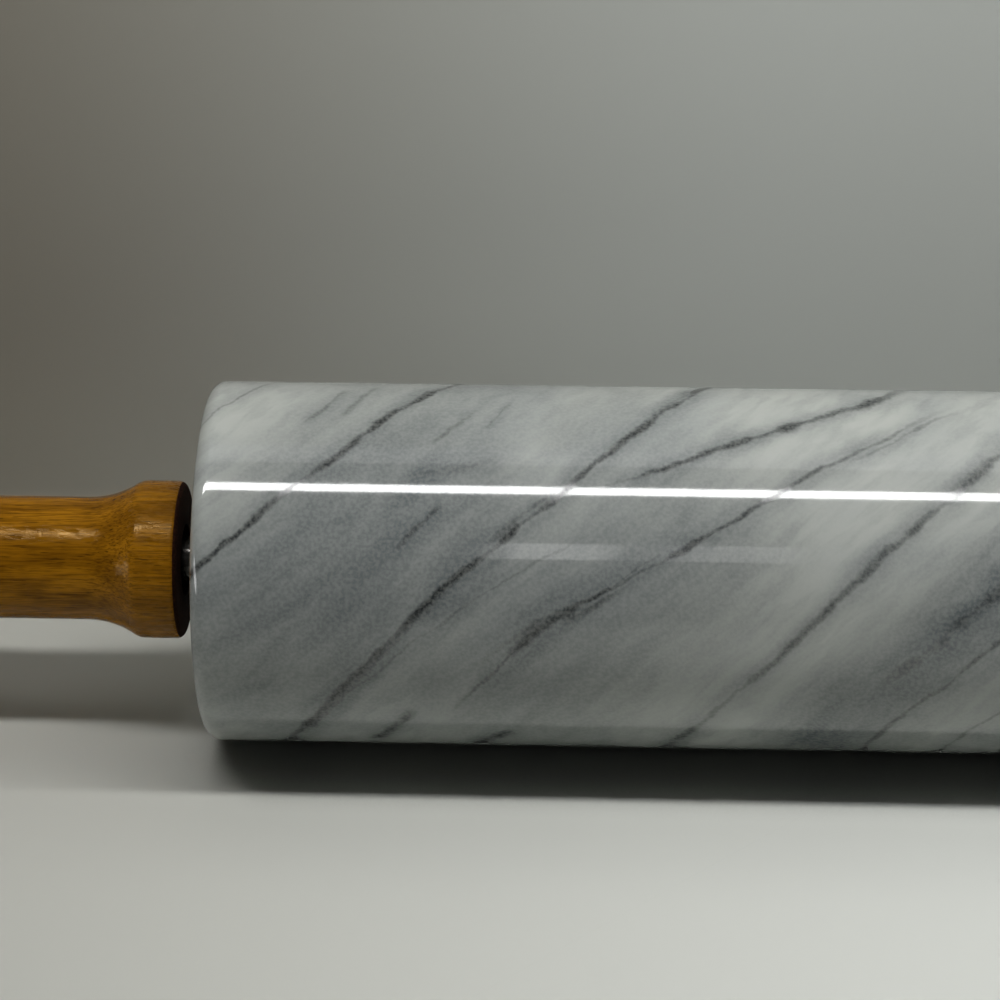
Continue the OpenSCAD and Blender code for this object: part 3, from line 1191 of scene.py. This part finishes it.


# The stone's pattern: where its veins and its grey zones lie, from the left end to the right. Some broad
# zones on the barrel's front are partly painted shade.
VEINS = (
    Vein(-121.5, 90, lean=0.6, slant=0.7, core=0.5, dark=0.4, haze=0.2, reach=14),
    Vein(-105.5, 88, core=0.7, dark=0.45, haze=0.35, reach=8),
    Vein(-100, 92, core=0.7, dark=0.35, haze=0.3, reach=8),
    Vein(-104, 76, halo=12, haze=0.4, reach=28),
    Vein(-84, 76, halo=16, haze=0.35, reach=32),
    Vein(-62, 84, halo=8, haze=0.4, reach=16),
    Vein(-103, 65, lean=0.9, slant=0.7, core=0.95, dark=1.0, halo=3, haze=0.45),
    Vein(-93.5, 86, lean=0.9, slant=0.7, core=1.1, dark=0.9, halo=2.5, haze=0.25, reach=13),
    Vein(-122.5, 31, lean=0.9, slant=0.7, core=0.7, dark=0.5, halo=2, haze=0.2, reach=12),
    Vein(-99, 60, lean=0.9, slant=0.7, halo=5, haze=0.3),
    # Broad grey zones on the left of the front: partly the stone's own grey, partly painted shade on the
    # barrel's front.
    Vein(-104, 18, halo=40, haze=0.65, reach=40),
    Vein(-103, 24, slant=0.65, halo=20, haze=0.7, reach=42),
    Vein(-85, 60, lean=3, slant=1.5, core=1.2, dark=0.25, halo=3, haze=0.7, reach=9),
    Vein(-85.5, 77, core=0.5, dark=0.45, halo=1.6, haze=0.3, reach=6),
    Vein(-79, 82.5, core=0.5, dark=0.4, halo=1.6, haze=0.3, reach=5),
    Vein(-90.5, 39.5, core=0.9, dark=0.6, haze=0.3, reach=6),
    Vein(-88, 8, lean=1.25, slant=1.0, core=0.4, dark=0.3, halo=3, haze=0.25, reach=34),
    Vein(-80.5, 30, slant=0.6, core=1.0, dark=1.0, halo=4, haze=0.55),
    Vein(-88, 15, halo=7, haze=0.4, reach=32),
    Vein(-100, -8, slant=0.6, core=1.0, dark=0.6, halo=4, haze=0.4, reach=26),
    Vein(-74, 44, slant=0.6, core=0.9, dark=0.5, reach=9),
    Vein(-51, 92, core=1.1, dark=0.5, halo=3, haze=0.35, reach=9),
    # A broad grey zone in the middle of the front: partly the stone's own grey, partly painted shade on the
    # barrel's front below the lamp's line.
    Vein(-64, 8, halo=30, haze=0.7, reach=46),
    Vein(-95.5, -34, lean=1.1, core=1.6, dark=0.9, halo=4, haze=0.6, reach=8),
    Vein(-78.5, -42, lean=1.6, core=1.4, dark=0.7, halo=3, haze=0.5, reach=6),
    Vein(-70, 8.5, lean=1.05, slant=1.0, core=1.5, dark=1.0, halo=4, haze=0.6, reach=9),
    Vein(-72, 0, halo=7, haze=0.65, reach=16),
    Vein(-97, 38, halo=7, haze=0.35, reach=22),
    Vein(-63, 16, lean=1.05, slant=1.0, core=0.9, dark=0.6, halo=3, haze=0.3, reach=7),
    Vein(-70, 8.5, lean=1.05, slant=1.0, core=0.45, dark=0.6, halo=2, haze=0.2, reach=26),
    Vein(-43.5, 41, lean=1.4, slant=1.0, core=0.7, dark=0.75, halo=3, haze=0.4, reach=50),
    Vein(-43.5, 41, lean=1.4, slant=1.0, core=0.9, dark=0.7, halo=3, haze=0.35, reach=11),
    Vein(-25.5, 61.5, lean=1.4, slant=1.0, halo=4, haze=0.35, reach=13),
    Vein(-13.5, 75, lean=1.4, slant=1.0, core=0.7, dark=0.45, reach=13),
    Vein(-34, 75.5, lean=2.6, slant=1.4, core=0.85, dark=0.95, halo=2.2, haze=0.45, reach=36),
    Vein(-36, 73, lean=2.6, slant=1.4, core=1.0, dark=0.6, halo=2.5, haze=0.3, reach=9),
    Vein(-46, 64, lean=2.2, slant=1.2, halo=3.5, haze=0.45, reach=15),
    Vein(-24, 20, core=1.0, dark=0.65, halo=4, haze=0.5),
    Vein(-29, 12, core=1.0, dark=0.5, reach=8),
    Vein(-18.5, 31.5, core=0.8, dark=0.45, reach=4),
    Vein(-12, 43, core=0.8, dark=0.5, reach=4),
    Vein(-4.5, 58, core=1.0, dark=0.35, halo=3, haze=0.3, reach=7),
    Vein(-48, -36, core=1.0, dark=0.4, reach=9),
    Vein(-13, -5, lean=1.0, halo=15, haze=1.0, reach=42),
    Vein(-6, 11, lean=1.0, core=1.7, dark=0.65, halo=5, haze=0.6, reach=17),
    Vein(-11, -18, lean=1.05, slant=0.7, core=0.7, dark=0.75, haze=0.3),
    Vein(-4, -38, slant=0.3, core=0.6, dark=0.5, reach=34),
    Vein(36, 28, lean=1.1, slant=0.7, halo=14, haze=0.4),
    Vein(40, 28, lean=1.05, slant=0.6, core=0.6, dark=0.8, haze=0.3),
    Vein(59, 28, lean=0.8, slant=0.4, core=0.4, dark=0.6),
    Vein(76, 28, lean=1.0, slant=0.55, core=0.7, dark=0.9, halo=4, haze=0.4),
    Vein(95, 28, lean=1.2, slant=0.3, halo=16, haze=0.4),
    Vein(97, 28, lean=0.9, slant=0.7, core=0.5, dark=0.65),
    Vein(129, 28, lean=1.0, core=0.6, dark=0.8, haze=0.3),
    Vein(151, 28, lean=0.9, slant=0.45, core=0.5, dark=0.6),
)


def main() -> None:
    """Builds every sub-assembly in order, then the studio."""
    logging.basicConfig(level=logging.INFO, format="%(message)s")
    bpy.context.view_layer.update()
    for name in ("Cube", "Light", "Camera"):
        if name in bpy.data.objects:
            bpy.data.objects.remove(bpy.data.objects[name])
    barrel_end = corners("marble_barrel")[1]
    handle_from, handle_to = corners("handle_right")
    insert_face = corners("handle_insert_right")[0].x
    rod_end = corners("axle_rod")[1].x
    lathe, thread = lathe_tree(), thread_tree()
    stone = PolishedMarble("polished_marble", barrel_end.z, VEINS).material()
    wood = LacqueredWood("lacquered_turned_hardwood").material()
    # The end grain's near-black colour is partly painted shade for the gap by the barrel.
    bare = EndGrainWithPaintedShade("bare_end_grain").material()
    nylon = MouldedNylon("moulded_nylon").material()
    # The rod's steel is drawn darker than bright steel, partly as painted shade for the gap between handle
    # and barrel where it shows.
    steel = MachinedMetal("drawn_steel", "#6C6A66", "#55534F", 0.18, (8.0, 0.12, 0.12)).material()
    washer = MachinedMetal("stamped_steel", "#A4A5A2", "#85837D", 0.35, (0.3, 0.3, 0.3)).material()
    spring = MachinedMetal("oiled_spring_steel", "#3A3836", "#262423", 0.4, (0.5, 0.5, 0.5)).material()
    brass = MachinedMetal("turned_brass", "#C49A4A", "#8F6E33", 0.3, (0.15, 8.0, 8.0)).material()
    Barrel(barrel_end.x, barrel_end.z).build(lathe, stone, nylon)
    Axle(insert_face, rod_end).build(thread, steel, washer, spring)
    for end in End:
        Handle(end, handle_from.x, handle_to.x - handle_from.x - ROUNDING).build(lathe, wood, bare, brass)
    Studio(-barrel_end.z).build()
    bpy.context.scene.view_settings.view_transform = "Standard"


if __name__ == "__main__":
    main()
